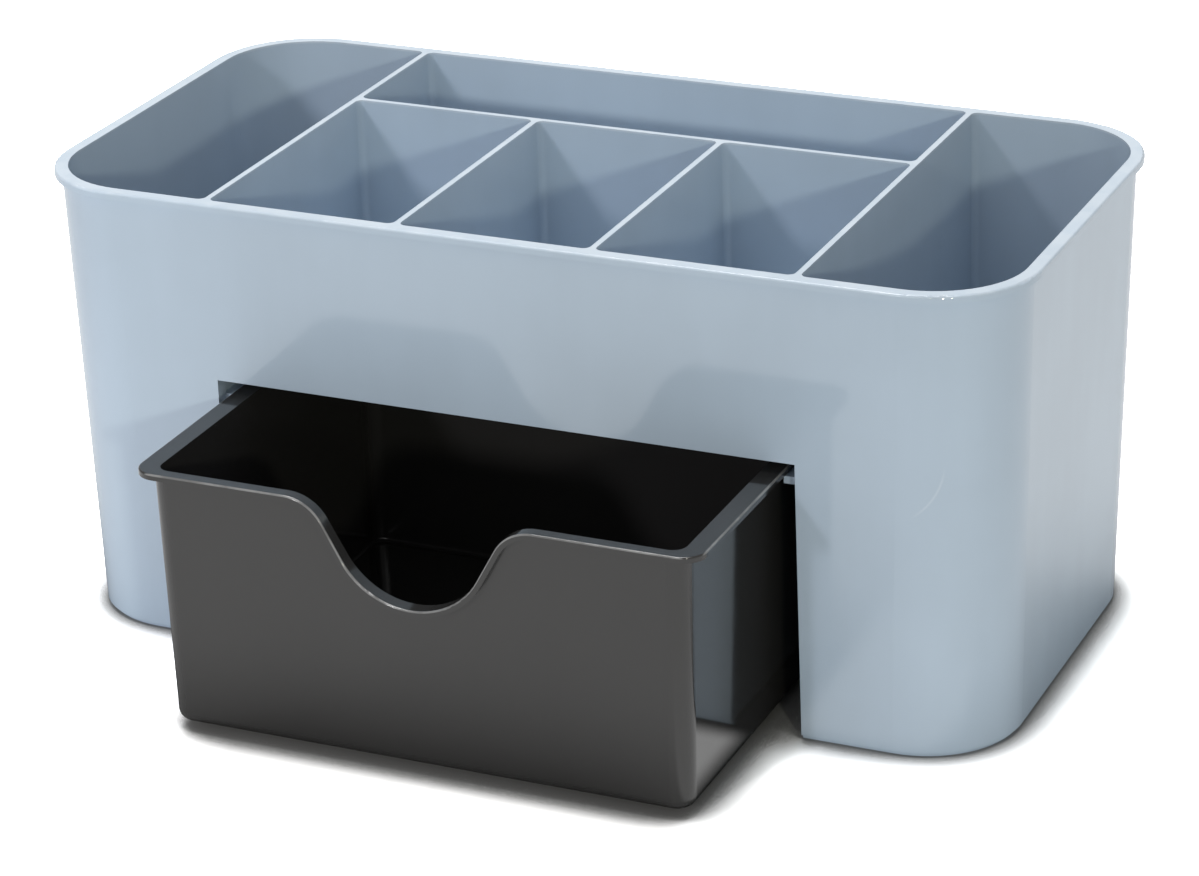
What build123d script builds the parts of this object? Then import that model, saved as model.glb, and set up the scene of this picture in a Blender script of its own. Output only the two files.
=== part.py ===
"""Desk organizer: a one-piece compartment housing and the drawer that hangs in it.

Millimetres and degrees. The origin is the middle of the housing's footprint on the desk, +Z is
up, +X runs along the long side and the drawer slides out towards -Y.
"""

import os
from math import cos, radians, sin, tan

from build123d import *

# ---- housing: outer form
RIM_L = 220.0  # rim outline along X
RIM_D = 113.0  # rim outline along Y
RIM_R = 22.6  # rim plan corners
RIM_T = 1.6  # height of the rim's lip
RIM_EDGE_R = 0.55  # rounding of the lip
OVERHANG = 1.55  # rim beyond the wall
HOUSING_H = 102.6  # desk to rim top
WALL_T = 1.45  # outer wall
WALL_DRAFT_X = 0.99  # lean of the two ends
WALL_DRAFT_Y = 1.41  # lean of the front and the back
FOOT_H = 1.0  # lower edge of the wall above the desk
FOOT_INSET = 0.9  # foot ring back from the wall's lower edge
FOOT_W = 2.6  # width of the foot ring under the ends
FOOT_RECESS = 1.4  # depth of the hollows that the foot ring surrounds
END_FLOOR_T = 2.0  # floors of the end compartments

# ---- housing: dividers and compartments
DIVIDER_T = 1.3  # dividers at their tops
DIVIDER_DRAFT = 0.83  # dividers thicken downwards
END_DRAFT = 1.1  # the long dividers' outer faces
END_X = 65.8  # middle of the two long dividers at their tops
MID_X = 21.8  # middle of the two short dividers at their tops
REAR_Y = 17.5  # middle of the cross divider at its top
CORNER_R = 1.6  # upright inside corners
FLOOR_R = 1.2  # rounding where floors meet walls

# ---- housing: drawer bay
BAY_TOP = 62.9  # underside of the middle floor
MID_FLOOR_T = 1.8
BAY_SIDE_T = 1.2  # walls beside the bay, at its top
BAY_FRONT_T = 3.3  # front wall at the top of the bay
BAY_BACK_T = 3.8  # back wall at the top of the bay
BAY_DRAFT = 0.54  # the bay widens towards the desk
BAY_DRAFT_FRONT = 0.14  # the same, at the front wall
MOUTH_STEP = 0.65  # the opening is this much smaller than the bay, sides and top
MOUTH_DRAFT = 0.6  # the opening widens towards the desk

# ---- drawer
TOP_CLEAR = 2.65  # opening above the drawer's flange
SIDE_CLEAR = 3.7  # bay beside the flange
BACK_CLEAR = 2.6  # bay behind the flange when shut
SHUT_PROUD = 0.5  # flange ahead of the front wall when shut
OPEN_BY = 43.4  # how far the drawer stands open at rest
FLANGE_T = 1.3
FLANGE_R = 5.2  # flange plan corners
FLANGE_EDGE_R = 0.4  # rounding of the flange's upper edge
SIDE_OVERHANG = 3.3  # flange beyond the body, sides
END_OVERHANG = 1.6  # flange beyond the body, front and back
DRAWER_T = 1.2  # drawer walls
DRAWER_FLOOR_T = 1.6
DRAWER_BOTTOM = 2.0  # underside of the drawer above the desk
DRAWER_DRAFT_X = 0.8  # lean of the drawer's sides
DRAWER_DRAFT_Y = 1.69  # lean of its front and back
BODY_R = 4.2  # upright outer corners of the body
BODY_FOOT_R = 2.4  # rounding under the body

# ---- finger scoop in the drawer front
SCOOP_DEPTH = 21.0
SCOOP_SLOPE = 61.0  # steepest part of the wave
SHOULDER_R = 9.5
BOWL_R = 17.0

# ---- rails that carry the drawer
RAIL_CLEAR = 0.3  # drawer flange above its rails
RAIL_GAP = 1.3  # rails beside the drawer's body
RAIL_T = 1.6
RAIL_R = 1.1  # rounded lower inner edge
RAIL_LEAD = 1.5  # lead-in at the rails' front ends

REACH = 10.0  # cutting shapes run this far past what they cut



def lean(angle, height):
    """How far a face drafted by angle moves over height."""
    return height * tan(radians(angle))


# outer wall at the rim, half outline, and its inside
TOP_X, TOP_Y, TOP_R = RIM_L / 2 - OVERHANG, RIM_D / 2 - OVERHANG, RIM_R - OVERHANG
INNER_X, INNER_Y = TOP_X - WALL_T, TOP_Y - WALL_T
HALF_T = DIVIDER_T / 2
END_FLOOR = FOOT_RECESS + END_FLOOR_T
MID_FLOOR = BAY_TOP + MID_FLOOR_T

# bay at its top, and its mouth
SIDE_FACE = END_X + HALF_T + lean(END_DRAFT, HOUSING_H - BAY_TOP)
OUTER_Y = TOP_Y - lean(WALL_DRAFT_Y, HOUSING_H - BAY_TOP)
BAY_X = SIDE_FACE - BAY_SIDE_T
BAY_FRONT = OUTER_Y - BAY_FRONT_T
BAY_BACK = OUTER_Y - BAY_BACK_T
MOUTH_TOP = BAY_TOP - MOUTH_STEP
MOUTH_X = BAY_X - MOUTH_STEP

# drawer, which fits the bay, and rails, which fit the drawer
DRAWER_TOP = MOUTH_TOP - TOP_CLEAR
FLANGE_X = BAY_X - SIDE_CLEAR
FLANGE_D = OUTER_Y + SHUT_PROUD + BAY_BACK - BACK_CLEAR
FRONT_Y = -OUTER_Y - SHUT_PROUD - OPEN_BY
DRAWER_Y = FRONT_Y + FLANGE_D / 2
BODY_X = FLANGE_X - SIDE_OVERHANG
BODY_Y = FLANGE_D / 2 - END_OVERHANG
RAIL_X = BODY_X + RAIL_GAP
RAIL_TOP = DRAWER_TOP - FLANGE_T - RAIL_CLEAR


def leaning_block(xs, ys, z_low, z_high, drafts):
    """Block of spans xs and ys at z_high, whose -X, +X, -Y and +Y sides lean in by drafts below."""
    with BuildPart() as block:
        with BuildSketch(Plane.XY.offset(z_low)):
            with Locations((sum(xs) / 2, sum(ys) / 2)):
                Rectangle(xs[1] - xs[0], ys[1] - ys[0])
        extrude(amount=z_high - z_low)
        for axis, end, angle in zip((Axis.X, Axis.X, Axis.Y, Axis.Y), (0, -1, 0, -1), drafts):
            draft(block.faces().sort_by(axis)[end], Plane.XY.offset(z_high), -angle)
    return block.part


def upright(edges):
    """The edges that run up and down, sorted along X."""
    return edges.filter_by(lambda e: abs(e.tangent_at(0.5).Z) > 0.9).sort_by(Axis.X)


os.makedirs("parts", exist_ok=True)

# ================================================================ spaces in the housing
# an end compartment, the full depth of the housing, rounded with the outer wall
with BuildPart() as end_space:
    add(
        leaning_block(
            (END_X + HALF_T, INNER_X),
            (-INNER_Y, INNER_Y),
            END_FLOOR,
            HOUSING_H,
            (END_DRAFT, WALL_DRAFT_X, WALL_DRAFT_Y, WALL_DRAFT_Y),
        )
    )
    fillet(upright(end_space.edges())[2:], TOP_R - WALL_T)
    fillet(upright(end_space.edges())[:2], CORNER_R)
    chamfer(end_space.faces().sort_by(Axis.Z)[0].edges(), FLOOR_R / 2)

# three compartments in front of the cross divider and one behind it
MID_SPANS = (
    ((HALF_T - END_X, -MID_X - HALF_T), (-INNER_Y, REAR_Y - HALF_T)),
    ((HALF_T - MID_X, MID_X - HALF_T), (-INNER_Y, REAR_Y - HALF_T)),
    ((MID_X + HALF_T, END_X - HALF_T), (-INNER_Y, REAR_Y - HALF_T)),
    ((HALF_T - END_X, END_X - HALF_T), (REAR_Y + HALF_T, INNER_Y)),
)
mid_spaces = []
for xs, ys in MID_SPANS:
    drafts = [DIVIDER_DRAFT] * 3 + [WALL_DRAFT_Y]
    if ys[0] < 0:
        drafts = [DIVIDER_DRAFT] * 2 + [WALL_DRAFT_Y, DIVIDER_DRAFT]
    with BuildPart() as space:
        add(leaning_block(xs, ys, MID_FLOOR, HOUSING_H, drafts))
        fillet(upright(space.edges()), CORNER_R)
        fillet(space.faces().sort_by(Axis.Z)[0].edges(), FLOOR_R)
    mid_spaces.append(space)

# the drawer bay, open below and a little wider there, with its mouth in the front wall
with BuildPart() as bay_space:
    add(
        leaning_block(
            (-BAY_X, BAY_X),
            (-BAY_FRONT, BAY_BACK),
            -REACH,
            BAY_TOP,
            (-BAY_DRAFT, -BAY_DRAFT, -BAY_DRAFT_FRONT, -BAY_DRAFT),
        )
    )
    fillet(upright(bay_space.edges()), CORNER_R)
    mouth_foot = MOUTH_X + lean(MOUTH_DRAFT, MOUTH_TOP + REACH)
    with BuildSketch(Plane.XZ.offset(BAY_FRONT - REACH)):
        with BuildLine():
            Polyline(
                (-mouth_foot, -REACH),
                (-MOUTH_X, MOUTH_TOP),
                (MOUTH_X, MOUTH_TOP),
                (mouth_foot, -REACH),
                close=True,
            )
        make_face()
    extrude(amount=BAY_FRONT_T + 2 * REACH)

# ================================================================ housing
with BuildPart() as housing:
    # leaning outer body
    add(
        leaning_block(
            (-TOP_X, TOP_X),
            (-TOP_Y, TOP_Y),
            FOOT_H,
            HOUSING_H,
            (WALL_DRAFT_X, WALL_DRAFT_X, WALL_DRAFT_Y, WALL_DRAFT_Y),
        )
    )
    fillet(upright(housing.edges()), TOP_R)
    base = housing.faces().sort_by(Axis.Z)[0].bounding_box().size

    # rim that stands out all round
    with BuildSketch(Plane.XY.offset(HOUSING_H - RIM_T)):
        RectangleRounded(RIM_L, RIM_D, RIM_R)
    extrude(amount=RIM_T)
    fillet(housing.faces().sort_by(Axis.Z)[-1].edges(), RIM_EDGE_R)

    # foot
    with BuildSketch():
        RectangleRounded(base.X - 2 * FOOT_INSET, base.Y - 2 * FOOT_INSET, TOP_R - FOOT_INSET)
    extrude(amount=FOOT_H)

    # compartments and drawer bay
    add(end_space.part, mode=Mode.SUBTRACT)
    add(mirror(end_space.part, about=Plane.YZ, mode=Mode.PRIVATE), mode=Mode.SUBTRACT)
    for space in (*mid_spaces, bay_space):
        add(space.part, mode=Mode.SUBTRACT)

    # hollows under the end compartments leave the foot as a ring
    with BuildSketch():
        inset = FOOT_INSET + FOOT_W
        RectangleRounded(base.X - 2 * inset, base.Y - 2 * inset, TOP_R - inset)
        Rectangle(2 * (mouth_foot + FOOT_W), RIM_D, mode=Mode.SUBTRACT)
    extrude(amount=FOOT_RECESS, mode=Mode.SUBTRACT)

    # rails along both sides of the bay, narrowed at the front so the drawer finds its way in
    with BuildSketch(Plane.XY.offset(RAIL_TOP - RAIL_T)):
        with BuildLine():
            Polyline(
                (RAIL_X, BAY_BACK + HALF_T),
                (RAIL_X, 2 * RAIL_LEAD - BAY_FRONT),
                (RAIL_X + RAIL_LEAD, -BAY_FRONT),
                (BAY_X + HALF_T, -BAY_FRONT),
                (BAY_X + HALF_T, BAY_BACK + HALF_T),
                close=True,
            )
        make_face()
        mirror(about=Plane.YZ)
    extrude(amount=RAIL_T)
    rail_edges = housing.edges().filter_by(Axis.Y).filter_by_position(
        Axis.Z, RAIL_TOP - RAIL_T - RAIL_CLEAR, RAIL_TOP - RAIL_T + RAIL_CLEAR
    )
    inner = RAIL_X + RAIL_GAP / 2
    fillet(rail_edges.filter_by_position(Axis.X, -inner, inner), RAIL_R)
housing.part.label = "housing"
export_step(housing.part, "parts/housing.step")

# ================================================================ space in the drawer
drawer_drafts = (DRAWER_DRAFT_X, DRAWER_DRAFT_X, DRAWER_DRAFT_Y, DRAWER_DRAFT_Y)
with BuildPart() as drawer_space:
    add(
        leaning_block(
            (DRAWER_T - BODY_X, BODY_X - DRAWER_T),
            (DRAWER_Y - BODY_Y + DRAWER_T, DRAWER_Y + BODY_Y - DRAWER_T),
            DRAWER_BOTTOM + DRAWER_FLOOR_T,
            DRAWER_TOP,
            drawer_drafts,
        )
    )
    fillet(upright(drawer_space.edges()), BODY_R - DRAWER_T)
    fillet(drawer_space.faces().sort_by(Axis.Z)[0].edges(), BODY_FOOT_R - DRAWER_T)

# outline cut out of the drawer front, with its zero at the flange's top
with BuildSketch() as wave:
    with BuildLine():
        turn = (BOWL_R + SHOULDER_R) * (1 - cos(radians(SCOOP_SLOPE)))
        bowl = CenterArc((0, BOWL_R - SCOOP_DEPTH), BOWL_R, -90, SCOOP_SLOPE)
        slope = PolarLine(bowl @ 1, (SCOOP_DEPTH - turn) / sin(radians(SCOOP_SLOPE)), SCOOP_SLOPE)
        shoulder = JernArc(slope @ 1, slope % 1, SHOULDER_R, -SCOOP_SLOPE)
        Polyline(shoulder @ 1, (shoulder @ 1) + Vector(0, REACH), (0, REACH))
        mirror(about=Plane.YZ)
    make_face()

# ================================================================ drawer
with BuildPart() as drawer:
    # tapered body with rounded bottom edges
    add(
        leaning_block(
            (-BODY_X, BODY_X),
            (DRAWER_Y - BODY_Y, DRAWER_Y + BODY_Y),
            DRAWER_BOTTOM,
            DRAWER_TOP,
            drawer_drafts,
        )
    )
    fillet(upright(drawer.edges()), BODY_R)
    fillet(drawer.faces().sort_by(Axis.Z)[0].edges(), BODY_FOOT_R)

    # flange that hangs on the rails
    with BuildSketch(Plane.XY.offset(DRAWER_TOP - FLANGE_T)):
        with Locations((0, DRAWER_Y)):
            RectangleRounded(2 * FLANGE_X, FLANGE_D, FLANGE_R)
    extrude(amount=FLANGE_T)
    add(drawer_space.part, mode=Mode.SUBTRACT)

    # the front is cut down to the wave, and the flange's lip follows the wave
    front_plane = Plane.XZ.offset(-FRONT_Y)
    with BuildSketch(front_plane.offset(REACH)):
        with Locations((0, DRAWER_TOP)):
            add(wave.sketch)
    extrude(amount=-2 * REACH, mode=Mode.SUBTRACT)
    with BuildSketch(front_plane):
        with Locations((0, DRAWER_TOP)):
            add(offset(wave.sketch, FLANGE_T, mode=Mode.PRIVATE))
            Rectangle(RIM_L, REACH + FLANGE_T, align=(Align.CENTER, Align.MIN), mode=Mode.SUBTRACT)
            add(wave.sketch, mode=Mode.SUBTRACT)
    extrude(amount=-END_OVERHANG - DRAWER_T)

    # rounding of the upper outer edge, which runs on round the flange and along the wave
    front_edges = drawer.faces().sort_by(Axis.Y)[0].edges()
    fillet(front_edges.filter_by(Axis.X).sort_by(Axis.Z)[-1], FLANGE_EDGE_R)
drawer.part.label = "drawer"
export_step(drawer.part, "parts/drawer.step")
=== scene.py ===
"""Finishes, studio floor, lamps and camera for a moulded desk organizer with a drawer."""

import bpy
from bpy.props import FloatProperty, FloatVectorProperty, PointerProperty
from math import radians
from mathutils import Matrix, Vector


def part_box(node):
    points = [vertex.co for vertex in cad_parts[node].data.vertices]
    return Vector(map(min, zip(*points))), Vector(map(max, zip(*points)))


bl_info = {
    "name": "Desk Organizer",
    "version": (1, 0, 0),
    "blender": (4, 5, 0),
    "location": "3D View > Sidebar > Organizer",
    "description": "Moulded plastic finishes, floor, lamps and camera for a desk organizer with a drawer",
    "category": "Object",
}

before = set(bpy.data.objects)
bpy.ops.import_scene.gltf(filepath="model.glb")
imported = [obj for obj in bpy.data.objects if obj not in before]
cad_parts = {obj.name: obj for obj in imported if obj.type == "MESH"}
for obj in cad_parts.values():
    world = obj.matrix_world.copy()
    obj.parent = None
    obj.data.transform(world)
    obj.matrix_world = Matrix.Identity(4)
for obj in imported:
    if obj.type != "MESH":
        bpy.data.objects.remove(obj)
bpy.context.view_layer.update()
MM = 0.001
BLACK = (0.0, 0.0, 0.0, 1.0)
WHITE = (1.0, 1.0, 1.0, 1.0)


# ---------------------------------------------------------------- shader maths


class Wire:
    """A number or colour on a node socket. Operators on it add the Math nodes that work them out."""

    def __init__(self, nodes, socket):
        self.nodes, self.socket = nodes, socket

    def _math(self, operation, first, second=0.0):
        return self.nodes.add("ShaderNodeMath", {"operation": operation}, {0: first, 1: second})

    def __add__(self, other):
        return self._math("ADD", self, other)

    def __radd__(self, other):
        return self._math("ADD", other, self)

    def __sub__(self, other):
        return self._math("SUBTRACT", self, other)

    def __rsub__(self, other):
        return self._math("SUBTRACT", other, self)

    def __mul__(self, other):
        return self._math("MULTIPLY", self, other)

    def __rmul__(self, other):
        return self._math("MULTIPLY", other, self)

    def __pow__(self, other):
        return self._math("POWER", self, other)

    def __abs__(self):
        return self._math("ABSOLUTE", self)

    def larger(self, other):
        """The larger of the two values."""
        return self._math("MAXIMUM", self, other)

    def clipped(self):
        """The value held between 0 and 1."""
        return self.nodes.add("ShaderNodeClamp", {}, {"Value": self})

    def band(self, low, high):
        """0 below low, 1 above high, and a smooth rise between; low may be above high."""
        settings = {"interpolation_type": "SMOOTHSTEP"}
        values = {"Value": self, "From Min": low, "From Max": high}
        return self.nodes.add("ShaderNodeMapRange", settings, values)


class Nodes:
    """The nodes of one material or world."""

    def __init__(self, owner):
        owner.use_nodes = True
        self.tree = owner.node_tree
        self.tree.nodes.clear()

    def add(self, kind, settings=None, values=None, out=0):
        """Adds a node, applies its settings, then sets or links its sockets; returns output out."""
        node = self.tree.nodes.new(kind)
        for name, value in (settings or {}).items():
            setattr(node, name, value)
        for name, value in (values or {}).items():
            socket = node.inputs[name]
            if isinstance(value, Wire):
                self.tree.links.new(value.socket, socket)
            else:
                socket.default_value = value
        return Wire(self, node.outputs[out]) if len(node.outputs) else node

    def rays(self, *kinds):
        """1 for a ray of any of the kinds, and 0 for the rest."""
        path = self.add("ShaderNodeLightPath").socket.node
        return sum(Wire(self, path.outputs[kind]) for kind in kinds).clipped()

    def place(self):
        """Object coordinates, in metres."""
        return self.add("ShaderNodeTexCoord", out="Object")

    def facing(self):
        """How far the surface faces along X, Y and Z."""
        return self.axes(self.add("ShaderNodeNewGeometry", out="Normal"))

    def axes(self, place):
        """The X, Y and Z numbers of a place."""
        split = self.add("ShaderNodeSeparateXYZ", {}, {0: place}).socket.node
        return [Wire(self, split.outputs[k]) for k in range(3)]

    def stretch(self, place, scale):
        """A place scaled by its own factor along each axis."""
        return self.add("ShaderNodeMapping", {}, {"Vector": place, "Scale": scale})

    def openness(self, reach):
        """0 where everything within reach is shut in, and 1 where nothing stands near."""
        return self.add("ShaderNodeAmbientOcclusion", {"samples": 8}, {"Distance": reach}, "AO")

    def specks(self, place, spacing, radius, soft=0.3):
        """1 inside rare round specks and 0 elsewhere; soft is the blurred share of the radius."""
        values = {"Vector": place, "Scale": 1.0 / spacing}
        away = self.add("ShaderNodeTexVoronoi", {"feature": "F1"}, values, "Distance")
        share = radius / spacing
        return away.band((1.0 + soft) * share, (1.0 - soft) * share)

    def noise(self, place, scale, detail=2.0, rough=0.5):
        """Soft noise between 0 and 1, scale cells to the metre."""
        values = {"Vector": place, "Scale": scale, "Detail": detail, "Roughness": rough}
        return self.add("ShaderNodeTexNoise", {}, values)

    def mix(self, factor, first, second):
        """Colour that goes from first to second as factor goes from 0 to 1."""
        values = {0: factor, 6: first, 7: second}
        return self.add("ShaderNodeMix", {"data_type": "RGBA"}, values, 2)


def rgba(colour, gain=1.0):
    """A property colour as a node colour, gain times as bright."""
    return (*(c * gain for c in colour), 1.0)


# ---------------------------------------------------------------- sizes and colours


class HousingSettings(bpy.types.PropertyGroup):
    colour: FloatVectorProperty(
        name="Colour",
        description="Plastic of the housing",
        subtype="COLOR",
        size=3,
        min=0.0,
        max=1.0,
        default=(0.418, 0.512, 0.615),
    )
    roughness: FloatProperty(
        name="Roughness",
        description="0 is a mirror polish, 1 is chalky",
        subtype="FACTOR",
        min=0.0,
        max=1.0,
        default=0.07,
    )
    # sets the pale rim and divider tops: a painted highlight of the top light, with some rubbing
    highlight_and_wear: FloatProperty(
        name="Wear",
        description="How far the rim and the tops of the dividers are rubbed pale",
        subtype="FACTOR",
        min=0.0,
        max=1.0,
        default=0.22,
    )


class DrawerSettings(bpy.types.PropertyGroup):
    colour: FloatVectorProperty(
        name="Colour",
        description="Plastic of the drawer",
        subtype="COLOR",
        size=3,
        min=0.0,
        max=1.0,
        default=(0.0235, 0.0232, 0.0230),
    )
    roughness: FloatProperty(
        name="Roughness",
        description="0 is a mirror polish, 1 is chalky",
        subtype="FACTOR",
        min=0.0,
        max=1.0,
        default=0.07,
    )
    # sets the pale line along the drawer lip's edge: a painted highlight
    highlight_and_wear: FloatProperty(
        name="Wear",
        description="How far the edge of the drawer's lip is rubbed pale",
        subtype="FACTOR",
        min=0.0,
        max=1.0,
        default=0.20,
    )


class StageSettings(bpy.types.PropertyGroup):
    floor: FloatVectorProperty(
        name="Floor colour",
        description="Matt floor under the organizer",
        subtype="COLOR",
        size=3,
        min=0.0,
        max=1.0,
        default=(0.86, 0.86, 0.86),
    )
    white: FloatProperty(
        name="Floor whiteness",
        description="Times that the floor looks brighter than the light that it gives back",
        subtype="FACTOR",
        min=1.0,
        soft_max=5.0,
        default=3.8,
    )
    contact: FloatProperty(
        name="Contact shadow",
        description="How far the soft dark line round the foot of the organizer reaches",
        unit="LENGTH",
        min=0.0,
        default=13 * MM,
    )
    # the reflected floor is white with a painted shade at the organizer's foot
    sheen: FloatProperty(
        name="Floor in reflections",
        description="How far a glossy surface shows the floor as white with a dark foot",
        subtype="FACTOR",
        min=0.0,
        max=1.0,
        default=0.95,
    )
    sky: FloatProperty(
        name="Room light",
        description="Strength of the even light from all round",
        min=0.0,
        default=0.375,
    )
    top: FloatProperty(
        name="Overhead softbox",
        description="Power of the wide lamp overhead",
        unit="POWER",
        min=0.0,
        default=20.0,
    )
    front: FloatProperty(
        name="Front softbox",
        description="Power of the wide lamp in front",
        unit="POWER",
        min=0.0,
        default=4.7,
    )
    back: FloatProperty(
        name="Back softbox",
        description="Power of the wide lamp behind",
        unit="POWER",
        min=0.0,
        default=3.0,
    )
    right: FloatProperty(
        name="Right lamp",
        description="Power of the small lamp in front on the right",
        unit="POWER",
        min=0.0,
        default=15.7,
    )
    left: FloatProperty(
        name="Left lamp",
        description="Power of the lamp with the narrow beam in front on the left",
        unit="POWER",
        min=0.0,
        default=108.0,
    )


class OrganizerSettings(bpy.types.PropertyGroup):
    housing: PointerProperty(type=HousingSettings)
    drawer: PointerProperty(type=DrawerSettings)
    stage: PointerProperty(type=StageSettings)


# ---------------------------------------------------------------- finishes


PLASTIC_IOR = 1.59
# colour of the painted edge highlights and of the real hairline scratch
RUB_AND_HIGHLIGHT = (0.90, 0.91, 0.92, 1.0)
SPECK = (0.06, 0.05, 0.045, 1.0)
SPECK_SPACING = 18 * MM
SPECK_RADIUS = 0.11 * MM

# The one hairline: an arc low on the right of the front wall, laid out in X and Z.
HAIRLINE_CENTRE = (81.8 * MM, 66.1 * MM)
HAIRLINE_RADIUS = 14.4 * MM
HAIRLINE_WIDTH = 0.35 * MM
HAIRLINE_FOOT = 53.6 * MM
HAIRLINE_HEAD = 66.0 * MM
HAIRLINE_PALENESS = 0.13
FRONT_WALL = (-50 * MM, -52 * MM)  # along Y, 0 behind the front wall and 1 in it


def painted_top_highlight(n, place, depth=0.7 * MM):
    """Painted highlight, with some rubbing: 1 on the top faces of the housing's rim and dividers, and
    fading out by depth below.
    """
    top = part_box("housing")[1][2]
    return n.axes(place)[2].band(top - depth, top - 0.2 * depth)


def painted_lip_highlight(n, place, width=0.5 * MM):
    """Painted highlight: 1 along the upper outer edge of the drawer's lip, at its sides and down the wave
    in front.
    """
    low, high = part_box("drawer")
    x, y = n.axes(place)[:2]
    side = abs(x).band(high[0] - width, high[0] - 0.4 * width)
    front = y.band(low[1] + width, low[1] + 0.4 * width)
    return side.larger(front) * n.facing()[2].band(0.05, 0.30)


def front_hairline(n, place):
    """1 along the hairline in the front wall, faded towards both ends."""
    x, y, z = n.axes(place)
    across, up = x - HAIRLINE_CENTRE[0], z - HAIRLINE_CENTRE[1]
    away = abs((across * across + up * up) ** 0.5 - HAIRLINE_RADIUS)
    foot = z.band(HAIRLINE_FOOT, HAIRLINE_FOOT + 3 * MM)
    head = z.band(HAIRLINE_HEAD, HAIRLINE_HEAD - 5 * MM)
    in_front = y.band(*FRONT_WALL)
    right_half = x.band(HAIRLINE_CENTRE[0], HAIRLINE_CENTRE[0] + MM)
    return away.band(HAIRLINE_WIDTH, 0.0) * (foot * head) * in_front * right_half


def moulded_plastic(name, settings, painted_highlight, scratch=None):
    """Polished moulded plastic with faint clouds and flow lines, a pale edge painted as a highlight with
    some rubbing, and rare specks.
    """
    material = bpy.data.materials.new(name)
    n = Nodes(material)
    place = n.place()
    clouds = n.noise(place, scale=22.0, detail=3.0)
    flow = n.noise(n.stretch(place, (1.0, 1.0, 0.12)), scale=90.0)
    grain = n.noise(place, scale=2600.0, detail=1.0)
    patches = n.noise(place, scale=60.0, detail=4.0, rough=0.65).band(0.45, 0.75)
    broken = n.noise(place, scale=140.0, detail=3.0).band(0.40, 0.60)
    # pale mask: painted highlight along the edge, plus the real hairline scratch
    highlight_and_scratch = painted_highlight(n, place) * (0.6 + 0.4 * broken) * settings.highlight_and_wear
    if scratch:
        highlight_and_scratch = highlight_and_scratch.larger(scratch(n, place) * HAIRLINE_PALENESS)

    tint = (clouds * 0.7 + flow * 0.3).band(0.35, 0.65)
    base = n.mix(tint, rgba(settings.colour, 0.97), rgba(settings.colour, 1.03))
    # the mask paints the highlight and the scratch into the base colour
    base = n.mix(highlight_and_scratch, base, RUB_AND_HIGHLIGHT)
    base = n.mix(n.specks(place, SPECK_SPACING, SPECK_RADIUS) * 0.75, base, SPECK)
    rough = settings.roughness + patches * 0.05 + grain * 0.03 + highlight_and_scratch * 0.10
    relief = clouds * 0.6 + flow * 0.12 + grain * 0.006 + highlight_and_scratch * 0.05
    bump = n.add(
        "ShaderNodeBump", {}, {"Strength": 0.35, "Distance": 0.12 * MM, "Height": relief}
    )
    shader = n.add(
        "ShaderNodeBsdfPrincipled",
        {},
        {"Base Color": base, "Roughness": rough, "IOR": PLASTIC_IOR, "Normal": bump},
    )
    n.add("ShaderNodeOutputMaterial", {}, {"Surface": shader})
    return material


class ORGANIZER_OT_housing(bpy.types.Operator):
    """Gives the housing its pale moulded plastic"""

    bl_idname = "organizer.housing"
    bl_label = "Finish housing"

    def execute(self, context):
        finish = moulded_plastic(
            "pale_plastic", context.scene.organizer.housing, painted_top_highlight, front_hairline
        )
        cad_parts["housing"].material_slots[0].material = finish
        return {"FINISHED"}


class ORGANIZER_OT_drawer(bpy.types.Operator):
    """Gives the drawer its dark moulded plastic"""

    bl_idname = "organizer.drawer"
    bl_label = "Finish drawer"

    def execute(self, context):
        finish = moulded_plastic("dark_plastic", context.scene.organizer.drawer, painted_lip_highlight)
        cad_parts["drawer"].material_slots[0].material = finish
        return {"FINISHED"}


# ---------------------------------------------------------------- stage


FLOOR_HALF = 4.0  # metres from the middle of the floor to its edges
PAINTED_SHADOW_WHITENESS = 0.3  # the floor's whiteness right at the organizer's foot, in the painted contact shadow
REFLECTED_REACH = 8.0  # times as far as the contact shadow that the painted shade of a reflected floor reaches
# the patch where the reflected floor's painted shade is left out
BESIDE_DRAWER = (60 * MM, 66 * MM)  # along X, from the drawer's right side outwards
BEFORE_HOUSING = (-52 * MM, -60 * MM)  # along Y, from the housing's front wall forwards

PLAIN_LIGHT = (1.0, 1.0, 1.0)
COOL_LIGHT = (0.93, 1.0, 1.0)
WARM_LIGHT = (1.0, 0.985, 0.82)
ROSE_LIGHT = (1.0, 0.97, 1.0)

MIDDLE = (0.0, 0.0, 0.05)  # what the softboxes and the right lamp face
SOFTBOXES = (
    # name, its power setting, place, width and height, colour
    ("overhead_softbox", "top", (-0.2, 0.1, 1.65), (0.9, 0.9), PLAIN_LIGHT),
    ("front_softbox", "front", (0.0, -2.32, 0.98), (1.5, 1.5), PLAIN_LIGHT),
    ("back_softbox", "back", (-0.7, 1.6, 0.78), (1.9, 0.9), COOL_LIGHT),
    ("right_lamp", "right", (1.738, -2.329, 0.797), (0.14, 0.14), WARM_LIGHT),
)
BEAM_PLACE = (-0.70, -2.78, 0.92)
BEAM_TARGET = (-0.153, 0.0, -0.057)
BEAM_RADIUS = 0.14
BEAM_CONE = 13.2  # degrees

CAMERA_PLACE = (0.331807, -0.750118, 0.385781)
CAMERA_TURN = (66.9537, 1.36533, 23.34979)  # degrees
CAMERA_LENS = 121.83  # millimetres
CAMERA_SENSOR = 36.0  # millimetres


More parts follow.
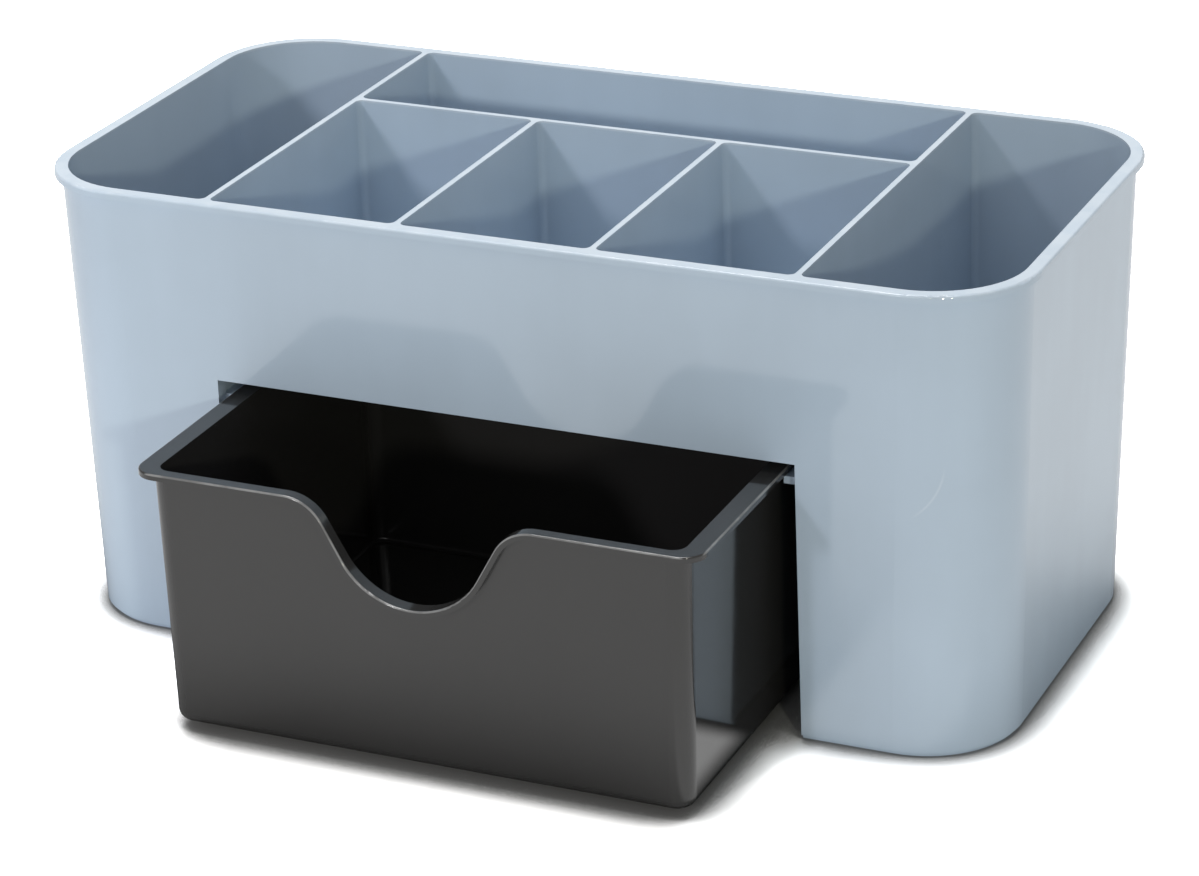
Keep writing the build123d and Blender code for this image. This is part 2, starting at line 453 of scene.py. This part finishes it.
def floor_material(s):
    """Matt floor that looks white to the camera but for a painted soft shadow round the foot.

    A glossy surface sees it as plain white with a painted shade that goes black towards the organizer's
    foot. In front of the housing, to the right of the drawer, that reflection stays white, without the
    painted shade.
    """
    material = bpy.data.materials.new("matt_floor")
    n = Nodes(material)
    # painted contact shadow: the floor's colour darkens where the organizer shuts it in
    unshaded = n.openness(s.contact).band(0.50, 0.97)
    floor_with_painted_shadow = n.mix(unshaded, rgba(s.floor, PAINTED_SHADOW_WHITENESS), rgba(s.floor, s.white))
    looks = n.mix(n.rays("Is Camera Ray"), rgba(s.floor), floor_with_painted_shadow)
    matt = n.add("ShaderNodeBsdfDiffuse", {}, {"Color": looks})

    # painted shade in reflections of the floor, kept out of the patch beside the drawer
    clear = n.openness(REFLECTED_REACH * s.contact).band(0.50, 0.95)
    x, y = n.axes(n.place())[:2]
    beside = x.band(*BESIDE_DRAWER) * y.band(*BEFORE_HOUSING)
    painted_reflection_shade = n.mix(clear + beside - clear * beside, BLACK, WHITE)
    plain = n.add("ShaderNodeEmission", {}, {"Color": painted_reflection_shade, "Strength": 1.0})
    shown = n.rays("Is Glossy Ray", "Is Transmission Ray") * s.sheen
    both = n.add("ShaderNodeMixShader", {}, {0: shown, 1: matt, 2: plain})
    n.add("ShaderNodeOutputMaterial", {}, {"Surface": both})
    material.cycles.emission_sampling = "NONE"
    return material


def lay_floor(scene, s):
    """A square floor at the height of the organizer's foot."""
    signs = ((-1, -1), (1, -1), (1, 1), (-1, 1))
    corners = [(FLOOR_HALF * a, FLOOR_HALF * b, 0) for a, b in signs]
    mesh = bpy.data.meshes.new("floor")
    mesh.from_pydata(corners, [], [(0, 1, 2, 3)])
    floor = bpy.data.objects.new("floor", mesh)
    scene.collection.objects.link(floor)
    mesh.materials.append(floor_material(s))


def light_room(scene, s):
    """Even light from all round."""
    scene.world = bpy.data.worlds.new("studio")
    n = Nodes(scene.world)
    sky = n.add("ShaderNodeBackground", {}, {"Color": WHITE, "Strength": s.sky})
    n.add("ShaderNodeOutputWorld", {}, {"Surface": sky})


def hang(scene, name, light, place, target, power, colour):
    """Hangs a lamp at place, turned towards target."""
    light.energy = power
    light.color = colour
    lamp = bpy.data.objects.new(name, light)
    lamp.location = place
    aim = Vector(target) - lamp.location
    lamp.rotation_euler = aim.to_track_quat("-Z", "Y").to_euler()
    scene.collection.objects.link(lamp)


def hang_lamps(scene, s):
    """The softboxes, the small lamp on the right and the beam on the left."""
    for name, setting, place, size, colour in SOFTBOXES:
        light = bpy.data.lights.new(name, "AREA")
        light.shape = "RECTANGLE"
        light.size, light.size_y = size
        hang(scene, name, light, place, MIDDLE, getattr(s, setting), colour)

    beam = bpy.data.lights.new("left_lamp", "SPOT")
    beam.shadow_soft_size = BEAM_RADIUS
    beam.spot_size = radians(BEAM_CONE)
    beam.spot_blend = 1.0  # fades evenly from its middle to the cone's edge
    hang(scene, "left_lamp", beam, BEAM_PLACE, BEAM_TARGET, s.left, ROSE_LIGHT)


def set_camera(scene):
    """A long lens, high on the right in front."""
    data = bpy.data.cameras.new("camera")
    data.sensor_width = CAMERA_SENSOR
    data.lens = CAMERA_LENS
    camera = bpy.data.objects.new("camera", data)
    camera.location = CAMERA_PLACE
    camera.rotation_euler = [radians(angle) for angle in CAMERA_TURN]
    scene.collection.objects.link(camera)
    scene.camera = camera


class ORGANIZER_OT_stage(bpy.types.Operator):
    """Lays the floor and sets the lamps and the camera"""

    bl_idname = "organizer.stage"
    bl_label = "Set stage"

    def execute(self, context):
        scene = context.scene
        settings = scene.organizer.stage
        lay_floor(scene, settings)
        light_room(scene, settings)
        hang_lamps(scene, settings)
        set_camera(scene)
        scene.view_settings.view_transform = "Standard"
        return {"FINISHED"}


class ORGANIZER_PT_sidebar(bpy.types.Panel):
    """Finishes, stage settings and steps of the organizer"""

    bl_idname = "ORGANIZER_PT_sidebar"
    bl_label = "Desk organizer"
    bl_space_type = "VIEW_3D"
    bl_region_type = "UI"
    bl_category = "Organizer"

    def draw(self, context):
        settings = context.scene.organizer
        for group, operator in (
            (settings.housing, ORGANIZER_OT_housing),
            (settings.drawer, ORGANIZER_OT_drawer),
            (settings.stage, ORGANIZER_OT_stage),
        ):
            box = self.layout.box()
            for name in group.__annotations__:
                box.prop(group, name)
            box.operator(operator.bl_idname)


CLASSES = (
    HousingSettings,
    DrawerSettings,
    StageSettings,
    OrganizerSettings,
    ORGANIZER_OT_housing,
    ORGANIZER_OT_drawer,
    ORGANIZER_OT_stage,
    ORGANIZER_PT_sidebar,
)


def register():
    for c in CLASSES:
        bpy.utils.register_class(c)
    bpy.types.Scene.organizer = PointerProperty(type=OrganizerSettings)


def unregister():
    del bpy.types.Scene.organizer
    for c in reversed(CLASSES):
        bpy.utils.unregister_class(c)


def main():
    register()
    bpy.ops.organizer.stage()
    bpy.ops.organizer.housing()
    bpy.ops.organizer.drawer()


if __name__ == "__main__":
    main()
